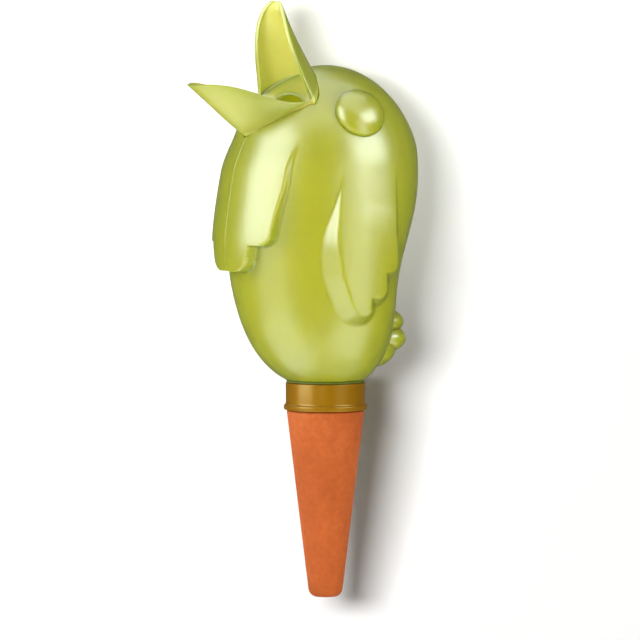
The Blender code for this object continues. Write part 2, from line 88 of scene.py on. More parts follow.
# Body: height, wall, floor, and the hole in the floor for the collar's tube
BODY_BOTTOM = 14.5 * MM
BODY_TOP = 162.3 * MM
BODY_WALL = 2.0 * MM
BODY_FLOOR = 3.0 * MM
NECK_HOLE = 15.0 * MM
NECK_CUT_BELOW = 5.0 * MM
NECK_CUT_ABOVE = 2.0 * MM
# Half outlines of the egg: reach, height of the widest place, fullness below it and above it
FRONT = (48.7 * MM, 98.7 * MM, 2.45, 2.25)
SIDE = (46.0 * MM, 101.0 * MM, 2.4, 2.0)
BACK = (42.8 * MM, 121.0 * MM, 2.25, 1.6)
# Hollow over the rump: depth, height and spread
RUMP_HOLLOW = (10.5 * MM, 64.3 * MM, 18.3 * MM)

# Relief of this height has full roundings at its edges, and lower relief has smaller ones
FULL_RELIEF = 6.0 * MM

# Raised bib: corners (x, z, rounding) of its crest in front view, true at one depth and wider behind it
BIB_RISE = 6.8 * MM
BIB_UPPER_RISE = 2.0 * MM
BIB_DROP_TOP = 117.0 * MM
BIB_DROP_LENGTH = 45.0 * MM
BIB_FADE_LOW = 112.0 * MM
BIB_FADE_LENGTH = 17.0 * MM
BIB_WALL = 1.1 * MM
BIB_FOOT_ROUND = 1.4 * MM
BIB_CREST_ROUND = 1.0 * MM
BIB_DEPTH = 52.1 * MM
BIB_DRAFT = 0.22
BIB_HALF = [
    (21.5 * MM, 140.0 * MM, 6.0 * MM),
    (27.0 * MM, 110.0 * MM, 45.0 * MM),
    (25.2 * MM, 80.8 * MM, 7.0 * MM),
    (16.2 * MM, 80.2 * MM, 1.4 * MM),
    (13.0 * MM, 66.8 * MM, 8.5 * MM),
]

# Raised wing: corners (y, z, rounding) of its crest in side view
WING_RISE = 6.0 * MM
WING_FADE_TOP = 106.5 * MM
WING_FADE_LENGTH = 38.0 * MM
WING_FADE_SOFT = 0.25
WING_FADE_POWER = 1.6
WING_WALL_SLOPE = 0.8
WING_FOOT_ROUND = 1.2 * MM
WING_CREST_ROUND = 1.0 * MM
WING_ROUNDS = 8
WING_CREST = [
    (-14.0 * MM, 120.5 * MM, 8.0 * MM),
    (-20.4 * MM, 83.0 * MM, 40.0 * MM),
    (-18.0 * MM, 67.0 * MM, 25.0 * MM),
    (-12.0 * MM, 52.0 * MM, 12.0 * MM),
    (-7.4 * MM, 46.8 * MM, 8.0 * MM),
    (-1.2 * MM, 47.3 * MM, 5.6 * MM),
    (-2.5 * MM, 55.5 * MM, 1.0 * MM),
    (6.2 * MM, 55.5 * MM, 5.4 * MM),
    (4.4 * MM, 67.6 * MM, 1.0 * MM),
    (12.0 * MM, 67.6 * MM, 5.6 * MM),
    (10.6 * MM, 88.0 * MM, 30.0 * MM),
    (14.0 * MM, 120.5 * MM, 8.0 * MM),
]

# Parts of the egg that the bib and the wings can reach
CHEST_HALF_WIDTH = 42.0 * MM
CHEST_LOW = 55.0 * MM
CHEST_HIGH = 135.0 * MM
FLANK_INNER = 18.0 * MM
FLANK_HALF_DEPTH = 36.0 * MM
FLANK_LOW = 36.0 * MM
FLANK_HIGH = 122.0 * MM

EYE_HEIGHT = 141.5 * MM
EYE_ANGLE = math.radians(88.0)
EYE_RADIUS = 12.2 * MM
EYE_RISE = 6.5 * MM

# Tail lobes: (y, z, half width, half depth, half height)
TAIL_LOBES = [
    (29.0 * MM, 41.0 * MM, 14.0 * MM, 10.6 * MM, 6.6 * MM),
    (29.5 * MM, 33.2 * MM, 15.0 * MM, 11.0 * MM, 7.4 * MM),
    (22.0 * MM, 28.5 * MM, 16.0 * MM, 13.0 * MM, 9.5 * MM),
]

# Beak: side views of rims and outer spines as cubic control points (y, z)
BEAK_WALL = 1.8 * MM
BEAK_GAP = 0.3 * MM
MOUTH_CORNER = (-21.8 * MM, 147.5 * MM)
UPPER_TIP = (-26.7 * MM, 193.6 * MM)
UPPER_RIM = [MOUTH_CORNER, (-23.7 * MM, 157.0 * MM), (-33.5 * MM, 179.5 * MM), UPPER_TIP]
UPPER_SPINE = [(-8.8 * MM, 160.2 * MM), (-10.9 * MM, 165.0 * MM), (-20.4 * MM, 179.4 * MM), UPPER_TIP]
LOWER_TIP = (-73.2 * MM, 154.4 * MM)
LOWER_RIM = [MOUTH_CORNER, (-38.0 * MM, 142.5 * MM), (-57.0 * MM, 159.8 * MM), LOWER_TIP]
LOWER_SPINE = [(-44.5 * MM, 131.0 * MM), (-50.9 * MM, 134.9 * MM), (-63.0 * MM, 145.9 * MM), LOWER_TIP]
# Half width at the mouth, its taper and fullness along each mandible, and fullness of the section
UPPER_FORM = (26.0 * MM, 0.9, 0.4, 1.45)
LOWER_FORM = (24.0 * MM, 1.5, 0.5, 1.4)
# Largest share of a mandible's depth and width that its wall takes near the tip
THINNEST = 0.45
# Bead inside the rims: width, how far along it reaches that width, largest share, and narrowness
RIM_BEAD = 1.3 * MM
BEAD_START = 0.1
BEAD_SHARE = 0.3
BEAD_POWER = 16
RIM_CREASE = 0.5
# Outlet into the body: half width, half height, place (y, z), and squareness
OUTLET = (16.0 * MM, 10.0 * MM, -19.5 * MM, 139.3 * MM)
OUTLET_SQUARENESS = 2.3

# How dark the beak's plastic is drawn, from 0 to 1, partly for thicker plastic and partly as painted shade
# down the throat and on the lower mandible: down the throat as (share of the way, look), and on the outer
# skins as (along the spine, at the rims)
THROAT_LOOKS = [(0.2, 0.7), (0.5, 0.3), (0.85, 0.3), (1.0, 1.0)]
UPPER_LOOK = (0.2, 0.8)
LOWER_LOOK = (0.36, 0.65)
LOOK_POWER = 4

# Mesh density: (around, along) for grids, and steps of a turn or half turn elsewhere
EGG_MESH = (480, 230)
CAVITY_MESH = (120, 60)
EYE_MESH = (72, 36)
LOBE_MESH = (64, 32)
TURNED_STEPS = 128
RUBBER_STEPS = 96
TURNED_ARC = 5
RUBBER_ARC = 3
OUTLINE_ARC = 10
BEAK_STEPS = 30
CUTTER_STEPS = 48
# Rows along a mandible, from mouth to tip, closer together near the tip
BEAK_ROWS = [
    0.0, 0.05, 0.1, 0.16, 0.23, 0.3, 0.38, 0.46, 0.54,
    0.62, 0.7, 0.77, 0.83, 0.88, 0.92, 0.955, 0.98, 0.993,
]
CUTTER_ROWS = BEAK_ROWS[1:8]
# Columns of the egg: share of them up to each angle, closer together on the front and sides
COLUMN_SHARES = [0.0, 0.39, 0.61, 1.0]
COLUMN_DEGREES = [0.0, 125.0, 235.0, 360.0]
# Rows of the egg: twice as close over the relief, (height, blend) at its ends, and none past the crown
RELIEF_LOW = (30.0 * MM, 12.0 * MM)
RELIEF_HIGH = (140.0 * MM, 20.0 * MM)
CROWN_RADIUS = 0.7 * MM
SIDE_SAMPLES = 3000
# Rows of the throat's outer wall, as shares of the way to the outlet
THROAT_ROWS = [0.25, 0.5, 0.75, 1.0]
# Largest share of an outline's side that the rounding of one corner takes
ROUND_SHARE = 0.49
# Edges sharper than these degrees stay sharp in the shading
BODY_SMOOTH = 55.0
BEAK_SMOOTH = 60.0
RING_SMOOTH = 60.0
TURNED_SMOOTH = 40.0
BEAK_SUBDIVISION = 2

# Materials: the moulding seam, the spread of light in green plastic, the thin coat, and mask colours
SEAM_HALF_WIDTH = 0.35 * MM
GREEN_SPREAD = (0.75, 1.0, 0.2)
COAT_IOR = 1.12
BLACK = (0.0, 0.0, 0.0)
WHITE = (1.0, 1.0, 1.0)

# Photograph: its width, the size of one pixel, the pixel of the frame's origin, and the view in degrees
PHOTO_PIXELS = 640.0
PIXEL = 0.47 * MM
ORIGIN_PIXEL = (325.5, 410.0)
AZIMUTH = 60.0
ELEVATION = 4.0
CAMERA_DISTANCE = 8.0
CAMERA_REACH = 50.0
SENSOR = 36.0

# Board behind the bird: distance from the axis, slopes of its upper and lower parts, and extent
BOARD_BEHIND = 0.106
BOARD_LEAN = 0.34
BOARD_LOW_LEAN = 0.35
BOARD_BEND = 0.03
BOARD_HALF_WIDTH = 0.7
BOARD_LOW = -0.2
BOARD_HIGH = 0.7
BOARD_ROWS = 66

# Soft boxes all face one point; the world is white to look at and dim as a light
LAMP_AIM = Vector((0.0, 0.0, 0.07))
WORLD_DIFFUSE = 0.07
WORLD_GLOSS = 0.08
# Lamp in the hollow bird, with its level at a distance
GLOW_PLACE = Vector((0.0, 0.0, 0.11))
GLOW_RADIUS = 0.012
GLOW_DISTANCE = 0.045
GLOW_LEVEL = 0.95
# Spot through the head on the board: azimuth and elevation in degrees, aim, distance, patch and level
SPOT_VIEW = (51.0, 6.0)
SPOT_AIM = Vector((0.0, 0.0, 0.14))
SPOT_DISTANCE = 1.4
SPOT_PATCH = 0.118
SPOT_RADIUS = 0.1
SPOT_LEVEL = 0.78
# Soft boxes: name, azimuth and elevation in degrees, distance, width, height and level
PIECE_FILLS = [
    ("key", 51.0, 8.0, 1.4, 0.28, 0.28, 0.44),
    ("fill_left", -20.0, 15.0, 1.0, 0.5, 0.7, 0.92),
    ("fill_right", 106.0, 2.0, 1.0, 0.5, 0.7, 0.90),
    ("fill_low", 35.0, -50.0, 1.0, 0.8, 0.8, 0.95),
    ("fill_top", 60.0, 75.0, 1.0, 0.8, 0.8, 0.48),
    ("fill_back", 240.0, 15.0, 1.0, 0.8, 0.8, 0.6),
]
BEAK_FILLS = [("fill_beak", -25.0, 0.0, 1.0, 0.4, 0.4, 0.72)]
CONE_FILLS = [("fill_cone", -35.0, 0.0, 1.0, 0.5, 0.5, 0.25)]
BOARD_FILLS = [
    ("board_key", 48.3, 5.8, 2.8, 0.76, 0.40, 0.99),
    ("board_wide", 51.0, 6.0, 2.8, 1.5, 1.5, 0.07),
]
GLOSSES = [
    ("gloss_left", -2.0, 23.0, 1.0, 0.85, 0.95, 4.2),
    ("gloss_left_low", 2.0, -26.0, 1.0, 0.70, 0.60, 0.4),
    ("gloss_right", 122.0, 31.0, 1.0, 0.70, 0.45, 2.1),
    ("gloss_low_left", -10.0, -55.0, 1.0, 0.9, 0.8, 0.9),
    ("gloss_low_right", 108.0, -48.0, 1.0, 0.8, 0.6, 0.7),
    ("gloss_under", 55.0, -80.0, 1.0, 1.4, 1.4, 0.8),
    ("gloss_top", 60.0, 82.0, 1.0, 1.2, 1.2, 2.1),
    ("gloss_crown", 275.0, 50.0, 1.0, 0.8, 0.8, 0.5),
]
BIRD_GLOSSES = [("gloss_right_low", 94.0, -6.0, 1.0, 0.55, 1.05, 1.1)]
BEAK_GLOSSES = [("gloss_rims", -60.0, 8.0, 1.0, 0.40, 0.60, 0.6)]


def object_from(bm, name):
    bmesh.ops.recalc_face_normals(bm, faces=bm.faces[:])
    mesh = bpy.data.meshes.new(name)
    bm.to_mesh(mesh)
    bm.free()
    obj = bpy.data.objects.new(name, mesh)
    bpy.context.scene.collection.objects.link(obj)
    return obj


def bake_modifiers(obj):
    """Replace the mesh by its modified form."""
    graph = bpy.context.evaluated_depsgraph_get()
    graph.update()
    mesh = bpy.data.meshes.new_from_object(obj.evaluated_get(graph))
    obj.modifiers.clear()
    obj.data = mesh


def combine(target, other, operation):
    """Join the other object to the target, or cut it from it, and remove it."""
    modifier = target.modifiers.new(operation, "BOOLEAN")
    modifier.operation = operation
    modifier.solver = "MANIFOLD"
    modifier.object = other
    bake_modifiers(target)
    bpy.data.objects.remove(other, do_unlink=True)


def smooth_shade(obj, degrees):
    """Smooth shading that keeps edges sharper than the angle."""
    obj.data.shade_smooth()
    obj.data.set_sharp_from_angle(angle=math.radians(degrees))
    return obj


def ease(value):
    """Smooth step from 0 to 1."""
    value = np.clip(value, 0.0, 1.0)
    return value * value * (3.0 - 2.0 * value)


def soft_max(first, second, blend):
    """Larger of two values, with a rounded change from one to the other."""
    gap = np.maximum(blend - np.abs(first - second), 0.0)
    return np.maximum(first, second) + gap * gap / (4.0 * np.maximum(blend, 1e-9))


def rounded(corners, arc_steps):
    """Outline points with every corner (u, v, rounding) rounded by an arc."""
    points = []
    count = len(corners)
    for i, (u, v, radius) in enumerate(corners):
        here = Vector((u, v))
        if radius <= 0.0:
            points.append(here)
            continue
        before = Vector(corners[i - 1][:2]) - here
        after = Vector(corners[(i + 1) % count][:2]) - here
        half = before.angle(after) / 2.0
        reach = min(radius / math.tan(half), ROUND_SHARE * before.length, ROUND_SHARE * after.length)
        start = here + before.normalized() * reach
        end = here + after.normalized() * reach
        for step in range(arc_steps + 1):
            t = step / arc_steps
            a, b, c = (1 - t) ** 2, 2 * t * (1 - t) * math.sin(half), t ** 2
            points.append((start * a + here * b + end * c) / (a + b + c))
    return points


def inside_distance(u, v, corners):
    """Signed distance of the points (u, v) from an outline, positive inside."""
    outline = np.array([tuple(point) for point in rounded(corners, OUTLINE_ARC)])
    best = np.full(u.shape, np.inf)
    inside = np.zeros(u.shape, bool)
    for (u0, v0), (u1, v1) in zip(outline, np.roll(outline, -1, axis=0)):
        du, dv = u1 - u0, v1 - v0
        length = du * du + dv * dv
        if length < 1e-14:
            continue
        t = np.clip(((u - u0) * du + (v - v0) * dv) / length, 0.0, 1.0)
        best = np.minimum(best, np.hypot(u - u0 - t * du, v - v0 - t * dv))
        if dv != 0.0:
            inside ^= ((v0 > v) != (v1 > v)) & (u < du * (v - v0) / dv + u0)
    return np.where(inside, best, -best)


def meridian(z, outline, grow):
    """Reach of the egg at the heights z along one half outline."""
    reach, widest, fullness, dome_fullness = outline
    above = np.clip((z - widest) / (BODY_TOP + grow - widest), 0.0, 1.0)
    dome = np.sqrt(1.0 - above ** dome_fullness)
    neck_share = (COLLAR_RADIUS / reach) ** fullness
    depth = (widest - BODY_BOTTOM) / (1.0 - neck_share) ** (1.0 / fullness) + grow
    below = np.clip((widest - z) / depth, 0.0, 1.0)
    bowl = (1.0 - below ** fullness) ** (1.0 / fullness)
    return (reach + grow) * np.where(z >= widest, dome, bowl)


def egg(angle, z, grow=0.0):
    """Points of the egg-shaped body as an array (..., 3)."""
    front, side, back = (meridian(z, outline, grow) for outline in (FRONT, SIDE, BACK))
    depth, height, spread = RUMP_HOLLOW
    back = back - depth * np.exp(-0.5 * ((z - height) / spread) ** 2)
    middle, lean = 0.5 * (front + back), 0.5 * (front - back)
    cosine = np.cos(angle)
    return np.stack([side * np.sin(angle), -middle * cosine - lean * cosine * cosine, z], axis=-1)


def egg_normal(angle, z):
    """Outward normals of the egg, from small steps along it."""
    turn, step = 0.002, 0.05 * MM
    along = egg(angle + turn, z) - egg(angle - turn, z)
    upward = egg(angle, np.minimum(z + step, BODY_TOP - 1e-6)) - egg(angle, z - step)
    normal = np.cross(along, upward)
    return normal / np.maximum(np.linalg.norm(normal, axis=-1, keepdims=True), 1e-12)


def soft_pad(wall, rise, foot, crest):
    """Height of a pad whose wall is cut off at the rise, rounded at its foot and at its crest."""
    scale = np.clip(rise / FULL_RELIEF, 0.0, 1.0)
    height = soft_max(wall, np.zeros_like(wall), foot * scale)
    return -soft_max(-height, -rise, crest * scale)


def bib_rise(z):
    """Height of the bib: full at its lower edge, low on the upper chest, nothing under the beak."""
    drop = (BIB_RISE - BIB_UPPER_RISE) * ease((BIB_DROP_TOP - z) / BIB_DROP_LENGTH)
    return (BIB_UPPER_RISE + drop) * (1.0 - ease((z - BIB_FADE_LOW) / BIB_FADE_LENGTH))


def wing_rise(z):
    """Height of a wing, which fades out towards the shoulder."""
    share = soft_max((WING_FADE_TOP - z) / WING_FADE_LENGTH, np.zeros_like(z), WING_FADE_SOFT)
    return WING_RISE * (1.0 - (1.0 - np.clip(share, 0.0, 1.0)) ** WING_FADE_POWER)


def bib_height(points, normals, inset):
    """Height of the bib along the normals: its steep wall starts at the crest's front view."""
    outline = BIB_HALF + [(-u, v, r) for u, v, r in reversed(BIB_HALF)]
    rise = bib_rise(points[:, 2])
    x, y, z = (points + normals * rise[:, None]).T
    over = inside_distance(x, z, outline) + (BIB_DEPTH + y) * BIB_DRAFT - inset
    return soft_pad(rise * (1.0 + over / BIB_WALL), rise, BIB_FOOT_ROUND, BIB_CREST_ROUND)


def wing_height(points, normals, inset):
    """Height of a wing along the normals: its sloped wall ends at the crest's side view.

    The place of a point in that view depends on its height, so a few rounds settle both.
    """
    rise = wing_rise(points[:, 2])
    sideways = np.abs(normals[:, 0])
    height = np.zeros(len(points))
    for _ in range(WING_ROUNDS):
        y, z = (points + normals * height[:, None]).T[1:]
        wall = (rise + (inside_distance(y, z, WING_CREST) - inset) / WING_WALL_SLOPE) * sideways
        height = np.clip(wall, 0.0, rise)
    return soft_pad(wall, rise, WING_FOOT_ROUND, WING_CREST_ROUND)


def relief(points, normals, inset):
    """Height of the raised bib and wings over the egg; the inset draws their outlines in."""
    flat = points.reshape(-1, 3)
    facing = normals.reshape(-1, 3)
    height = np.zeros(len(flat))
    x, y, z = flat.T
    chest = (y < 0.0) & (np.abs(x) < CHEST_HALF_WIDTH) & (z > CHEST_LOW) & (z < CHEST_HIGH)
    height[chest] = bib_height(flat[chest], facing[chest], inset)
    flank = (np.abs(x) > FLANK_INNER) & (np.abs(y) < FLANK_HALF_DEPTH) & (z > FLANK_LOW) & (z < FLANK_HIGH)
    height[flank] = np.maximum(height[flank], wing_height(flat[flank], facing[flank], inset))
    return height.reshape(points.shape[:-1])


def row_heights(rows, low, top):
    """Heights of the rows, spaced along the egg's side and closer together where the relief is."""
    turn = np.linspace(0.0, math.pi, SIDE_SAMPLES)[:-1]
    z = low + (top - low) * 0.5 * (1.0 - np.cos(turn))
    reach = meridian(z, SIDE, top - BODY_TOP)
    carved = ease((z - RELIEF_LOW[0]) / RELIEF_LOW[1]) * ease((RELIEF_HIGH[0] - z) / RELIEF_HIGH[1])
    steps = np.hypot(np.diff(z), np.diff(reach)) * (0.5 + 0.5 * carved)[1:]
    along = np.concatenate([[0.0], np.cumsum(steps)])
    upper = SIDE_SAMPLES // 2
    crown = reach[upper:] < CROWN_RADIUS
    last = along[upper + np.argmax(crown)] if np.any(crown) else along[-1]
    return np.interp(np.linspace(0.0, last, rows), along, z)


def egg_shell(name, grid, low, wall):
    """Closed surface of the body with its relief, drawn in by the wall."""
    around, rows = grid
    columns = np.radians(np.interp(np.arange(around) / around, COLUMN_SHARES, COLUMN_DEGREES))
    z, angle = np.meshgrid(row_heights(rows, low, BODY_TOP - wall), columns, indexing="ij")
    normals = egg_normal(angle, z)
    points = egg(angle, z, -wall) + normals * relief(egg(angle, z), normals, wall)[..., None]
    bm = bmesh.new()
    rings = [[bm.verts.new(point) for point in ring] for ring in points]
    for first, second in zip(rings, rings[1:]):
        bridge(bm, first, second)
    bm.faces.new(rings[0])
    bm.faces.new(rings[-1])
    return object_from(bm, name)


def ellipsoid(name, centre, radii, turn, grid):
    around, along = grid
    bm = bmesh.new()
    shape = Matrix.Translation(centre) @ turn.to_4x4() @ Matrix.Diagonal((*radii, 1.0))
    bmesh.ops.create_uvsphere(bm, u_segments=around, v_segments=along, radius=1.0, matrix=shape)
    return object_from(bm, name)


def revolve(name, outline, steps):
    """Closed solid from an outline (radius, height) turned round the Z axis."""
    bm = bmesh.new()
    columns = []
    for radius, height in outline:
        if radius < 1e-7:
            columns.append([bm.verts.new((0.0, 0.0, height))] * steps)
            continue
        turns = [2.0 * math.pi * step / steps for step in range(steps)]
        columns.append([bm.verts.new((radius * math.cos(a), radius * math.sin(a), height)) for a in turns])
    for previous, column in zip(columns[-1:] + columns, columns):
        for step in range(steps):
            after = (step + 1) % steps
            corners = [previous[step], previous[after], column[after], column[step]]
            corners = list(dict.fromkeys(corners))
            if len(corners) > 2:
                bm.faces.new(corners)
    return object_from(bm, name)


def cubic(points, t):
    a, b, c, d = (Vector(point) for point in points)
    s = 1.0 - t
    return a * s ** 3 + b * 3 * s * s * t + c * 3 * s * t * t + d * t ** 3


def beak_arc(upper, t, grow, steps, bead=0.0):
    """Half section of one mandible, from rim over spine to rim, drawn in at the rims by the bead."""
    rim = cubic(UPPER_RIM if upper else LOWER_RIM, t)
    depth = cubic(UPPER_SPINE if upper else LOWER_SPINE, t) - rim
    depth = depth + depth.normalized() * max(grow, -THINNEST * depth.length)
    width, taper, tip, fullness = UPPER_FORM if upper else LOWER_FORM
    half_width = width * (1.0 - t ** taper) ** tip
    half_width += max(grow, -THINNEST * half_width)
    bead = min(bead * ease(t / BEAD_START), BEAD_SHARE * half_width)
    power = 2.0 / fullness
    arc = []
    for step in range(steps + 1):
        angle = math.pi * step / steps
        cosine = math.cos(angle)
        reach = half_width * abs(cosine) ** power - bead * cosine ** BEAD_POWER
        y, z = rim + depth * math.sin(angle) ** power
        arc.append(Vector((math.copysign(reach, cosine), y, z)))
    return arc


def mouth_ring(t, grow, steps):
    """Closed loop round the mouth: over the upper mandible, then back under the lower one."""
    over = beak_arc(True, t, grow, steps)
    under = beak_arc(False, t, grow, steps)
    left, right = (over[end].lerp(under[end], 0.5) for end in (0, -1))
    return [left] + over[1:-1] + [right] + under[-2:0:-1]


def mouth_axis():
    """Direction out of the mouth, square to the line between the two spines."""
    along = (Vector(UPPER_SPINE[0]) - Vector(LOWER_SPINE[0])).normalized()
    return Vector((0.0, -along.y, along.x))


def outlet_loop(grow, steps):
    """Rounded rectangle where the throat opens into the body."""
    half_width, half_height, y, middle = OUTLET
    power = 2.0 / OUTLET_SQUARENESS
    loop = []
    for step in range(2 * steps):
        angle = math.pi * step / steps
        cosine, sine = math.cos(angle), math.sin(angle)
        x = math.copysign(abs(cosine) ** power, cosine) * (half_width + grow)
        z = math.copysign(abs(sine) ** power, sine) * (half_height + grow)
        loop.append(Vector((x, y, middle + z)))
    return loop


def between(first, second, share):
    return [a.lerp(b, share) for a, b in zip(first, second)]


def bridge(bm, first, second):
    """Faces between two closed loops."""
    count = len(first)
    for i in range(count):
        after = (i + 1) % count
        bm.faces.new((first[i], first[after], second[after], second[i]))


def strip(bm, first, second):
    """Faces between two open lines."""
    return [
        bm.faces.new((first[i], first[i + 1], second[i + 1], second[i]))
        for i in range(len(first) - 1)
    ]


def add_loop(bm, points, look=0.0):
    """Vertices at the points, marked with how dark the plastic is drawn there: thicker plastic and painted
    shade.
    """
    deep = bm.verts.layers.float["deep"]
    verts = [bm.verts.new(point) for point in points]
    for vert in verts:
        vert[deep] = look
    return verts


def shade_skin(bm, rows, spine, rim):
    """Mark a mandible's skin with how dark it is drawn along its spine and towards its rims: thicker
    plastic and painted shade.
    """
    deep = bm.verts.layers.float["deep"]
    for row in rows:
        for step, vert in enumerate(row):
            side = abs(math.cos(math.pi * step / (len(row) - 1)))
            vert[deep] = spine + (rim - spine) * side ** LOOK_POWER


def rim_strip(bm, first, second):
    """Rim between two skins, with its own finish and with creased edges."""
    crease = bm.edges.layers.float["crease_edge"]
    for face in strip(bm, first, second):
        face.material_index = 1
    for line in (first, second):
        for start, end in zip(line, line[1:]):
            bm.edges.get((start, end))[crease] = RIM_CREASE


def add_throat(bm):
    """Wall from the mouth down to the outlet; returns its outer and inner ring at the mouth."""
    inward = -mouth_axis() * BEAK_WALL
    outer_ring = mouth_ring(0.0, 0.0, BEAK_STEPS)
    inner_ring = mouth_ring(0.0, -BEAK_WALL, BEAK_STEPS)
    mouth_edge = outlet_loop(0.0, BEAK_STEPS)
    body_edge = [point + inward for point in mouth_edge]
    low_ring = [point + inward for point in outer_ring]
    outer = [add_loop(bm, outer_ring), add_loop(bm, low_ring)]
    outer += [add_loop(bm, between(low_ring, body_edge, share)) for share in THROAT_ROWS]
    # The inner loops are drawn darker at the mouth's edge and at the outlet: painted shade in the throat.
    inner = [add_loop(bm, inner_ring, 1.0)]
    inner += [add_loop(bm, between(inner_ring, mouth_edge, share), look) for share, look in THROAT_LOOKS]
    for loops in (outer, inner):
        for first, second in zip(loops, loops[1:]):
            bridge(bm, first, second)
    bridge(bm, outer[-1], inner[-1])
    return outer[0], inner[0]


def add_mandible(bm, upper, outer_ring, inner_ring):
    """Outer and inner skin of one mandible, from the rings at the mouth to the tip, and its rims."""
    skins = []
    for ring, grow, bead in ((outer_ring, 0.0, 0.0), (inner_ring, -BEAK_WALL, RIM_BEAD)):
        start = ring[: BEAK_STEPS + 1] if upper else [ring[0]] + ring[: BEAK_STEPS - 1:-1]
        arcs = [beak_arc(upper, t, grow, BEAK_STEPS, bead) for t in BEAK_ROWS[1:]]
        rows = [start] + [add_loop(bm, arc) for arc in arcs]
        for first, second in zip(rows, rows[1:]):
            strip(bm, first, second)
        skins.append(rows)
    outer, inner = skins
    shade_skin(bm, outer[1:], *(UPPER_LOOK if upper else LOWER_LOOK))
    for end in (0, -1):
        rim_strip(bm, [row[end] for row in outer], [row[end] for row in inner])
    rim_strip(bm, outer[-1], inner[-1])


def build_beak():
    """Funnel beak with beaded rims, rounded by subdivision.

    A vertex attribute says how dark the plastic is drawn, from 0 to 1: partly for thicker plastic, partly
    painted shade down the throat and on the lower mandible.
    """
    bm = bmesh.new()
    bm.verts.layers.float.new("deep")
    bm.edges.layers.float.new("crease_edge")
    outer_ring, inner_ring = add_throat(bm)
    for upper in (True, False):
        add_mandible(bm, upper, outer_ring, inner_ring)
    beak = object_from(bm, "beak_fine")
    rounder = beak.modifiers.new("round", "SUBSURF")
    rounder.levels = rounder.render_levels = BEAK_SUBDIVISION
    bake_modifiers(beak)
    return smooth_shade(beak, BEAK_SMOOTH)


def mouth_cutter():
    """Solid that clears the body's mouth for the beak, with a small gap round it."""
    bm = bmesh.new()
    inward = -mouth_axis() * (BEAK_WALL + BEAK_GAP)
    ring = mouth_ring(0.0, BEAK_GAP, CUTTER_STEPS)
    floor = [point + inward for point in outlet_loop(BEAK_GAP, CUTTER_STEPS)]
    low_ring = [point + inward for point in ring]
    loops = [floor, between(low_ring, floor, 0.5), low_ring, ring]
    loops += [mouth_ring(t, BEAK_GAP, CUTTER_STEPS) for t in CUTTER_ROWS]
    rows = [[bm.verts.new(point) for point in loop] for loop in loops]
    for first, second in zip(rows, rows[1:]):
        bridge(bm, first, second)
    for row in (rows[0], rows[-1]):
        hub = bm.verts.new(sum((vert.co for vert in row), Vector()) / len(row))
        for i in range(len(row)):
            bm.faces.new((row[i], row[(i + 1) % len(row)], hub))
    return object_from(bm, "mouth_cutter")


def eye(side):
    """Eye dome on one side of the head, turned to the egg's normal."""
    angle, height = np.array(side * EYE_ANGLE), np.array(EYE_HEIGHT)
    turn = Vector((0, 0, 1)).rotation_difference(Vector(egg_normal(angle, height))).to_matrix()
    return ellipsoid("eye", Vector(egg(angle, height)), (EYE_RADIUS, EYE_RADIUS, EYE_RISE), turn, EYE_MESH)


def build_body():
    """Hollow bird: egg with relief, eyes and tail joined on, cavity, mouth and neck cut."""
    body = egg_shell("bird_fine", EGG_MESH, BODY_BOTTOM, 0.0)
    for side in (1, -1):
        combine(body, eye(side), "UNION")
    for y, z, *radii in TAIL_LOBES:
        combine(body, ellipsoid("lobe", Vector((0, y, z)), radii, Matrix.Identity(3), LOBE_MESH), "UNION")
    cavity = egg_shell("cavity", CAVITY_MESH, BODY_BOTTOM + BODY_FLOOR, BODY_WALL)
    combine(body, cavity, "DIFFERENCE")
    low, high = BODY_BOTTOM - NECK_CUT_BELOW, BODY_BOTTOM + BODY_FLOOR + NECK_CUT_ABOVE
    hole = revolve("hole", [(0.0, low), (NECK_HOLE, low), (NECK_HOLE, high), (0.0, high)], RUBBER_STEPS)
    combine(body, hole, "DIFFERENCE")
    combine(body, mouth_cutter(), "DIFFERENCE")
    return smooth_shade(body, BODY_SMOOTH)


def turned(name, corners, arc_steps, steps):
    """Turned piece from the corners (radius, height, rounding) of its section."""
    return smooth_shade(revolve(name, rounded(corners, arc_steps), steps), TURNED_SMOOTH)


def build_cone():
    groove_low, groove_high = RING_HEIGHT - GROOVE_HALF, RING_HEIGHT + GROOVE_HALF
    corners = [
        (0.0, -CONE_LENGTH, 0.0),
        (CONE_TIP_RADIUS, -CONE_LENGTH, CONE_TIP_ROUND),
        (CONE_TOP_RADIUS, 0.0, CONE_SHOULDER_ROUND),
        (PLUG_RADIUS, 0.0, 0.0),
        (PLUG_RADIUS, groove_low, GROOVE_ROUND),
        (GROOVE_RADIUS, groove_low, GROOVE_ROUND),
        (GROOVE_RADIUS, groove_high, GROOVE_ROUND),
        (PLUG_RADIUS, groove_high, GROOVE_ROUND),
        (PLUG_RADIUS, PLUG_TOP, CLAY_EDGE_ROUND),
        (PLUG_BORE, PLUG_TOP, CLAY_EDGE_ROUND),
        (PLUG_BORE, BORE_LOW, BORE_LOW_ROUND),
        (HOLLOW_FLOOR_RADIUS, HOLLOW_FLOOR, HOLLOW_FLOOR_ROUND),
        (0.0, HOLLOW_FLOOR, 0.0),
    ]
    return turned("cone_fine", corners, TURNED_ARC, TURNED_STEPS)


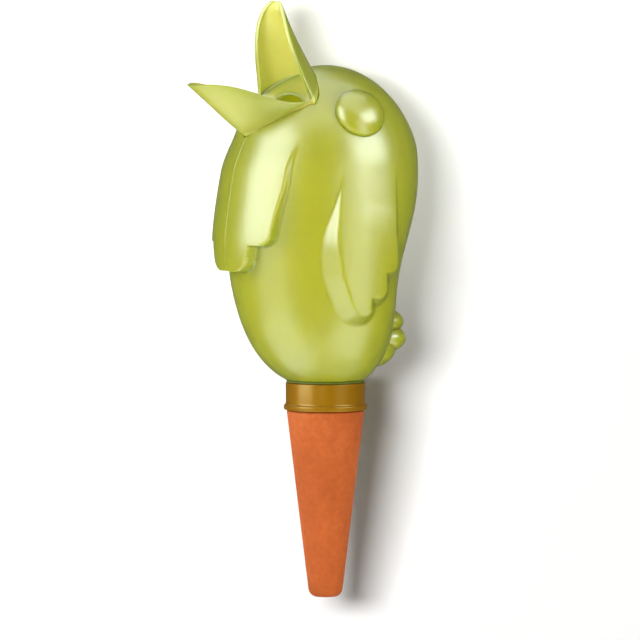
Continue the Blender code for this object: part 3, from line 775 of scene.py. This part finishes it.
def build_collar():
    corners = [
        (COLLAR_BORE, COLLAR_LOW, COLLAR_EDGE_ROUND),
        (LIP_RADIUS, COLLAR_LOW, LIP_LOW_ROUND),
        (LIP_RADIUS, LIP_HIGH, LIP_HIGH_ROUND),
        (COLLAR_RADIUS, LIP_END, LIP_END_ROUND),
        (COLLAR_RADIUS, COLLAR_TOP, COLLAR_TOP_ROUND),
        (TUBE_RADIUS, COLLAR_TOP, 0.0),
        (TUBE_RADIUS, SNAP_LOW, 0.0),
        (SNAP_RADIUS, SNAP_LOW, SNAP_ROUND),
        (TUBE_RADIUS, SNAP_HIGH, TUBE_END_ROUND),
        (TUBE_BORE, SNAP_HIGH, TUBE_END_ROUND),
        (TUBE_BORE, COLLAR_SHELF, 0.0),
        (COLLAR_BORE, COLLAR_SHELF, 0.0),
    ]
    return turned("collar_fine", corners, TURNED_ARC, TURNED_STEPS)


def build_gasket():
    corners = [
        (NECK_HOLE, GASKET_LOW, GASKET_INNER_ROUND),
        (GASKET_RADIUS, GASKET_LOW, GASKET_OUTER_ROUND),
        (GASKET_RADIUS, GASKET_HIGH, GASKET_OUTER_ROUND),
        (NECK_HOLE, GASKET_HIGH, GASKET_INNER_ROUND),
    ]
    return turned("gasket_fine", corners, RUBBER_ARC, RUBBER_STEPS)


def build_ring():
    outline = []
    for step in range(RING_SECTION_STEPS):
        angle = 2.0 * math.pi * step / RING_SECTION_STEPS
        radius = RING_RADIUS + RING_SECTION_RADIUS * math.cos(angle)
        outline.append((radius, RING_HEIGHT + RING_SECTION_RADIUS * math.sin(angle)))
    return smooth_shade(revolve("ring_fine", outline, RUBBER_STEPS), RING_SMOOTH)


class Shader:
    """Small helper for building a material's nodes."""

    def __init__(self, name):
        self.material = bpy.data.materials.new(name)
        self.material.use_nodes = True
        self.tree = self.material.node_tree
        self.surface = self.tree.nodes["Principled BSDF"]

    def node(self, kind, **values):
        made = self.tree.nodes.new(kind)
        for key, value in values.items():
            setattr(made, key, value)
        return made

    def link(self, source, target):
        self.tree.links.new(source, target)

    def value(self, name, number):
        self.surface.inputs[name].default_value = number

    def feed(self, name, source):
        self.link(source, self.surface.inputs[name])

    def position(self):
        return self.node("ShaderNodeTexCoord").outputs["Object"]

    def noise(self, scale, detail=4.0, rough=0.55):
        made = self.node("ShaderNodeTexNoise")
        made.inputs["Scale"].default_value = scale
        made.inputs["Detail"].default_value = detail
        made.inputs["Roughness"].default_value = rough
        self.link(self.position(), made.inputs["Vector"])
        return made.outputs["Fac"]

    def ramp(self, source, stops):
        made = self.node("ShaderNodeValToRGB")
        ramp = made.color_ramp
        while len(ramp.elements) < len(stops):
            ramp.elements.new(0.5)
        for element, (place, colour) in zip(ramp.elements, stops):
            element.position = place
            element.color = (*colour, 1.0)
        self.link(source, made.inputs["Fac"])
        return made.outputs["Color"]

    def cloud(self, dark, light, scale, detail=4.0):
        """Colour that drifts between two tones."""
        return self.ramp(self.noise(scale, detail), [(0.3, dark), (0.7, light)])

    def span(self, source, low, high):
        made = self.node("ShaderNodeMapRange")
        made.inputs["To Min"].default_value = low
        made.inputs["To Max"].default_value = high
        self.link(source, made.inputs["Value"])
        return made.outputs["Result"]

    def compute(self, operation, first, second):
        made = self.node("ShaderNodeMath", operation=operation)
        for socket, value in zip(made.inputs, (first, second)):
            if isinstance(value, (int, float)):
                socket.default_value = value
            else:
                self.link(value, socket)
        return made.outputs["Value"]

    def mix(self, factor, tone, colour):
        """The tone, changed by the factor towards the colour."""
        made = self.node("ShaderNodeMix", data_type="RGBA")
        first, second = [socket for socket in made.inputs if socket.type == "RGBA"]
        self.link(factor, made.inputs["Factor"])
        self.link(tone, first)
        second.default_value = (*colour, 1.0)
        return next(socket for socket in made.outputs if socket.type == "RGBA")

    def bump(self, source, strength, distance, under=None):
        made = self.node("ShaderNodeBump")
        made.inputs["Strength"].default_value = strength
        made.inputs["Distance"].default_value = distance
        self.link(source, made.inputs["Height"])
        if under is not None:
            self.link(under, made.inputs["Normal"])
        return made.outputs["Normal"]

    def coat(self, roughness, tint):
        """Thin tinted skin over the surface, with little reflection of its own."""
        self.value("Coat Weight", 1.0)
        self.value("Coat IOR", COAT_IOR)
        self.value("Coat Roughness", roughness)
        self.value("Coat Tint", (*tint, 1.0))

    def subsurface(self, weight, scale):
        """Light that spreads inside green plastic."""
        self.value("Subsurface Weight", weight)
        self.value("Subsurface Radius", GREEN_SPREAD)
        self.value("Subsurface Scale", scale)


def satin_shell():
    """Satin, slightly translucent green plastic with a fine grain, the moulding seam, and painted shade
    that darkens its creases.
    """
    s = Shader("satin_green")
    tone = s.cloud((0.390, 0.360, 0.011), (0.420, 0.386, 0.014), scale=30.0, detail=3.0)
    # Painted shade: where the surface is concave (low pointiness) the colour goes to dark green, as if
    # shade fell in the creases.
    pointed = s.node("ShaderNodeNewGeometry").outputs["Pointiness"]
    hollow = s.ramp(pointed, [(0.42, WHITE), (0.485, BLACK)])
    s.feed("Base Color", s.mix(hollow, tone, (0.16, 0.22, 0.006)))
    s.feed("Roughness", s.span(s.noise(scale=260.0, detail=2.0), low=0.29, high=0.35))
    s.value("IOR", 1.5)
    s.subsurface(weight=0.8, scale=0.004)
    s.coat(roughness=0.3, tint=(0.75, 0.82, 0.81))
    split = s.node("ShaderNodeSeparateXYZ")
    s.link(s.position(), split.inputs["Vector"])
    off = s.compute("DIVIDE", split.outputs["X"], SEAM_HALF_WIDTH)
    ridge = s.compute("POWER", math.e, s.compute("MULTIPLY", s.compute("MULTIPLY", off, off), -1.0))
    grain = s.bump(s.noise(scale=1500.0, detail=2.0), strength=0.04, distance=0.2 * MM)
    s.feed("Normal", s.bump(ridge, strength=0.9, distance=0.2 * MM, under=grain))
    return s.material


def clear_green():
    """Milky clear green plastic of the beak, darker where the plastic is thicker and where shade is painted
    in.
    """
    s = Shader("clear_green")
    tone = s.cloud((0.77, 0.70, 0.21), (0.81, 0.74, 0.26), scale=24.0, detail=2.0)
    # Painted shade: the vertex attribute mixes the colour to dark green down the throat, at the outlet and
    # on the lower mandible, besides darkening thicker plastic.
    thickness_and_shade_factor = s.node("ShaderNodeAttribute", attribute_name="deep").outputs["Fac"]
    s.feed("Base Color", s.mix(thickness_and_shade_factor, tone, (0.20, 0.27, 0.006)))
    s.feed("Roughness", s.span(s.noise(scale=120.0, detail=2.0), low=0.30, high=0.36))
    s.value("IOR", 1.45)
    s.value("Specular IOR Level", 0.25)
    s.value("Transmission Weight", 0.5)
    s.subsurface(weight=0.6, scale=0.003)
    s.coat(roughness=0.15, tint=(0.82, 0.85, 0.66))
    s.feed("Normal", s.bump(s.noise(scale=90.0, detail=2.0), strength=0.03, distance=0.4 * MM))
    return s.material


def clear_rim():
    """Polished rims of the beak, which gather the light in the clear plastic."""
    s = Shader("clear_rim")
    s.feed("Base Color", s.cloud((0.30, 0.36, 0.03), (0.35, 0.41, 0.05), scale=60.0, detail=2.0))
    s.feed("Roughness", s.span(s.noise(scale=120.0, detail=2.0), low=0.10, high=0.16))
    s.value("IOR", 1.5)
    s.value("Transmission Weight", 0.3)
    s.feed("Normal", s.bump(s.noise(scale=90.0, detail=2.0), strength=0.03, distance=0.4 * MM))
    return s.material


def clear_collar():
    """Cloudy green plastic of the collar, through which the clay plug shows a little."""
    s = Shader("clear_collar")
    s.feed("Base Color", s.cloud((0.245, 0.120, 0.003), (0.275, 0.138, 0.005), scale=40.0, detail=2.0))
    s.feed("Roughness", s.span(s.noise(scale=120.0, detail=2.0), low=0.26, high=0.32))
    s.value("IOR", 1.47)
    s.value("Specular IOR Level", 0.22)
    s.value("Specular Tint", (1.0, 0.95, 0.6, 1.0))
    s.value("Transmission Weight", 0.15)
    s.coat(roughness=0.2, tint=(0.88, 0.82, 0.45))
    s.feed("Normal", s.bump(s.noise(scale=120.0, detail=2.0), strength=0.04, distance=0.3 * MM))
    return s.material


def rubber(name, dark, light):
    s = Shader(name)
    s.feed("Base Color", s.cloud(dark, light, scale=300.0))
    s.value("Roughness", 0.75)
    s.value("Specular IOR Level", 0.2)
    s.feed("Normal", s.bump(s.noise(scale=900.0), strength=0.15, distance=0.2 * MM))
    return s.material


def terracotta():
    """Matte fired clay with cloudy tone, fine grain and small pits."""
    s = Shader("terracotta_clay")
    broad = s.compute("MULTIPLY", s.noise(scale=28.0, detail=5.0), 0.7)
    fine = s.compute("MULTIPLY", s.noise(scale=420.0, detail=3.0), 0.3)
    stops = [(0.34, (0.28, 0.058, 0.010)), (0.50, (0.35, 0.077, 0.015)), (0.68, (0.43, 0.108, 0.025))]
    s.feed("Base Color", s.ramp(s.compute("ADD", broad, fine), stops))
    s.value("Roughness", 0.88)
    s.value("Specular IOR Level", 0.08)
    pits = s.node("ShaderNodeTexVoronoi")
    pits.inputs["Scale"].default_value = 210.0
    s.link(s.position(), pits.inputs["Vector"])
    pit = s.ramp(s.span(pits.outputs["Distance"], low=0.0, high=1.0), [(0.06, BLACK), (0.16, WHITE)])
    grain = s.bump(s.noise(scale=700.0, detail=6.0, rough=0.7), strength=0.25, distance=0.25 * MM)
    s.feed("Normal", s.bump(pit, strength=0.25, distance=0.15 * MM, under=grain))
    return s.material


def one_sided_white():
    """White backdrop that is seen, and catches shadow, only from its front."""
    s = Shader("backdrop_white")
    s.value("Base Color", (0.95, 0.95, 0.95, 1.0))
    s.value("Roughness", 1.0)
    s.value("Specular IOR Level", 0.0)
    side = s.node("ShaderNodeNewGeometry").outputs["Backfacing"]
    clear = s.node("ShaderNodeBsdfTransparent").outputs["BSDF"]
    mix = s.node("ShaderNodeMixShader")
    s.link(side, mix.inputs["Fac"])
    s.link(s.surface.outputs["BSDF"], mix.inputs[1])
    s.link(clear, mix.inputs[2])
    s.link(mix.outputs["Shader"], s.tree.nodes["Material Output"].inputs["Surface"])
    return s.material


def towards(azimuth, elevation):
    """Direction from the bird to a place at these degrees, with azimuth 0 in front of the bird."""
    a, e = math.radians(azimuth), math.radians(elevation)
    return Vector((math.sin(a) * math.cos(e), -math.cos(a) * math.cos(e), math.sin(e)))


def view_frame():
    """Right, up and back directions of the photograph's camera."""
    turn = math.radians(AZIMUTH)
    right = Vector((math.cos(turn), math.sin(turn), 0.0))
    back = towards(AZIMUTH, ELEVATION)
    return right, back.cross(right), back


def place(obj, spot, back):
    obj.matrix_world = Matrix.Translation(spot) @ back.to_track_quat("Z", "Y").to_matrix().to_4x4()


def make_camera():
    """Camera of the photograph, with the frame's origin at its pixel."""
    right, up, back = view_frame()
    middle = PHOTO_PIXELS / 2.0
    aim = right * ((middle - ORIGIN_PIXEL[0]) * PIXEL) + up * ((ORIGIN_PIXEL[1] - middle) * PIXEL)
    lens = bpy.data.cameras.new("camera")
    camera = bpy.data.objects.new("camera", lens)
    bpy.context.scene.collection.objects.link(camera)
    lens.sensor_width = SENSOR
    lens.lens = SENSOR * CAMERA_DISTANCE / (PHOTO_PIXELS * PIXEL)
    lens.clip_end = CAMERA_REACH
    matrix = Matrix((right, up, back)).transposed().to_4x4()
    matrix.translation = aim + back * CAMERA_DISTANCE
    camera.matrix_world = matrix
    bpy.context.scene.camera = camera


def make_backdrop():
    """White board behind the bird, bent so that it leans towards the camera above and below."""
    right, up, back = view_frame()
    bm = bmesh.new()
    rows = []
    for height in np.linspace(BOARD_LOW, BOARD_HIGH, BOARD_ROWS):
        rounding = math.hypot(height, BOARD_BEND)
        forward = 0.5 * (BOARD_LEAN * (rounding + height) + BOARD_LOW_LEAN * (rounding - height))
        middle = up * height - back * (BOARD_BEHIND - forward)
        rows.append([bm.verts.new(middle + right * side) for side in (-BOARD_HALF_WIDTH, BOARD_HALF_WIDTH)])
    for first, second in zip(rows, rows[1:]):
        bm.faces.new((first[0], first[1], second[1], second[0]))
    wall = object_from(bm, "backdrop")
    if wall.data.polygons[0].normal.dot(back) < 0.0:
        wall.data.flip_normals()
    wall.data.shade_smooth()
    wall.data.materials.append(one_sided_white())
    wall.visible_glossy = False
    wall.visible_shadow = False
    return wall


def add_lamp(light, spot, back):
    """Lamp object that the camera doesn't see, facing away from the back direction."""
    lamp = bpy.data.objects.new(light.name, light)
    bpy.context.scene.collection.objects.link(lamp)
    lamp.visible_camera = False
    place(lamp, spot, back)
    return lamp


def soft_box(name, azimuth, elevation, distance, width, height, level):
    """Area light; the level is the light on a surface that faces it, where 1 shows a colour as it is."""
    back = towards(azimuth, elevation)
    light = bpy.data.lights.new(name, "AREA")
    light.shape = "RECTANGLE"
    light.size = width
    light.size_y = height
    light.energy = level * (math.pi * distance) ** 2
    return add_lamp(light, LAMP_AIM + back * distance, back)


def soft_boxes(rows):
    return [soft_box(*row) for row in rows]


def board_spot():
    """Soft-edged spot that lights a round patch of the board, through the bird's head."""
    back = towards(*SPOT_VIEW)
    light = bpy.data.lights.new("board_upper", "SPOT")
    light.spot_size = 2.0 * math.atan(SPOT_PATCH / SPOT_DISTANCE)
    light.spot_blend = 1.0
    light.shadow_soft_size = SPOT_RADIUS
    light.energy = SPOT_LEVEL * (2.0 * math.pi * SPOT_DISTANCE) ** 2
    return add_lamp(light, SPOT_AIM + back * SPOT_DISTANCE, back)


def inner_glow():
    """Small lamp in the hollow bird, for the light that its translucent wall lets in."""
    light = bpy.data.lights.new("glow", "POINT")
    light.shadow_soft_size = GLOW_RADIUS
    light.energy = GLOW_LEVEL * (2.0 * math.pi * GLOW_DISTANCE) ** 2
    return add_lamp(light, GLOW_PLACE, Vector((0.0, 0.0, 1.0)))


def group(name, members):
    made = bpy.data.collections.new(name)
    for member in members:
        made.objects.link(member)
    return made


def diffuse_only(lamps, receivers):
    """Lamps that light only the receivers and give no gloss."""
    for lamp in lamps:
        lamp.visible_glossy = False
        lamp.light_linking.receiver_collection = receivers


def gloss_only(lamps, receivers=None):
    """Lamps that only give gloss, on the receivers if any are named."""
    for lamp in lamps:
        lamp.visible_diffuse = False
        if receivers is not None:
            lamp.light_linking.receiver_collection = receivers


def make_lights(pieces, wall):
    """A soft light beside the camera, weak fills on the bird, and soft boxes that only give the gloss.

    The board has lights of its own, one of which the translucent bird lets through.
    """
    named = {piece.name: piece for piece in pieces}
    beak = group("lit_beak", [named["beak_fine"]])
    cone = group("lit_cone", [named["cone_fine"]])
    bird = group("lit_bird", [named["bird_fine"], named["beak_fine"]])
    opaque = group("opaque_pieces", [named["collar_fine"], named["cone_fine"]])
    through_head = board_spot()
    through_head.light_linking.blocker_collection = opaque
    diffuse_only(soft_boxes(PIECE_FILLS) + [inner_glow()], group("lit_pieces", pieces))
    diffuse_only(soft_boxes(BEAK_FILLS), beak)
    diffuse_only(soft_boxes(CONE_FILLS), cone)
    diffuse_only(soft_boxes(BOARD_FILLS) + [through_head], group("lit_board", [wall]))
    gloss_only(soft_boxes(GLOSSES))
    gloss_only(soft_boxes(BIRD_GLOSSES), bird)
    gloss_only(soft_boxes(BEAK_GLOSSES), beak)


def make_world():
    """White for what the camera and clear plastic see, dim as a light."""
    world = bpy.data.worlds.new("surround")
    bpy.context.scene.world = world
    world.use_nodes = True
    tree = world.node_tree
    background = tree.nodes["Background"]
    background.inputs["Color"].default_value = (1.0, 1.0, 1.0, 1.0)
    path = tree.nodes.new("ShaderNodeLightPath")
    seen = tree.nodes.new("ShaderNodeMath")
    seen.operation = "MAXIMUM"
    tree.links.new(path.outputs["Is Camera Ray"], seen.inputs[0])
    tree.links.new(path.outputs["Is Transmission Ray"], seen.inputs[1])
    level = tree.nodes.new("ShaderNodeMapRange")
    level.inputs["To Min"].default_value = WORLD_DIFFUSE
    level.inputs["To Max"].default_value = 1.0
    tree.links.new(seen.outputs["Value"], level.inputs["Value"])
    gloss = tree.nodes.new("ShaderNodeMath")
    gloss.operation = "MULTIPLY_ADD"
    gloss.inputs[1].default_value = WORLD_GLOSS
    tree.links.new(path.outputs["Is Glossy Ray"], gloss.inputs[0])
    tree.links.new(level.outputs["Result"], gloss.inputs[2])
    tree.links.new(gloss.outputs["Value"], background.inputs["Strength"])


def dress(obj, body, node, finishes):
    """Give a piece its finishes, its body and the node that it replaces."""
    obj.data.materials.clear()
    for finish in finishes:
        obj.data.materials.append(finish)
    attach(obj, body)
    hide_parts(node)
    return obj


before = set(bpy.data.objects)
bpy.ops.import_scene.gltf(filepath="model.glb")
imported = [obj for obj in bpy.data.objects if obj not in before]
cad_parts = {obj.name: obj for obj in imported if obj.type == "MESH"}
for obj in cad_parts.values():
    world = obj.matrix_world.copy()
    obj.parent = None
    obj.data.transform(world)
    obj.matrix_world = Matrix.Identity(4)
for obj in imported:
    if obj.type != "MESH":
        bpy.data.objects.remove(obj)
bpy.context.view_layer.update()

gasket_rubber = rubber("gasket_green", (0.06, 0.08, 0.004), (0.08, 0.10, 0.006))
seal_rubber = rubber("seal_black", (0.02, 0.02, 0.02), (0.035, 0.035, 0.035))
pieces = [
    dress(build_body(), "bird", "bird_body", [satin_shell()]),
    dress(build_beak(), "bird", "beak_funnel", [clear_green(), clear_rim()]),
    dress(build_collar(), "bird", "neck_collar", [clear_collar()]),
    dress(build_gasket(), "bird", "neck_gasket", [gasket_rubber]),
    dress(build_ring(), "ring", "cone_seal_ring", [seal_rubber]),
    dress(build_cone(), "cone", "clay_cone", [terracotta()]),
]

make_camera()
make_lights(pieces, make_backdrop())
make_world()
bpy.context.scene.view_settings.view_transform = "Standard"
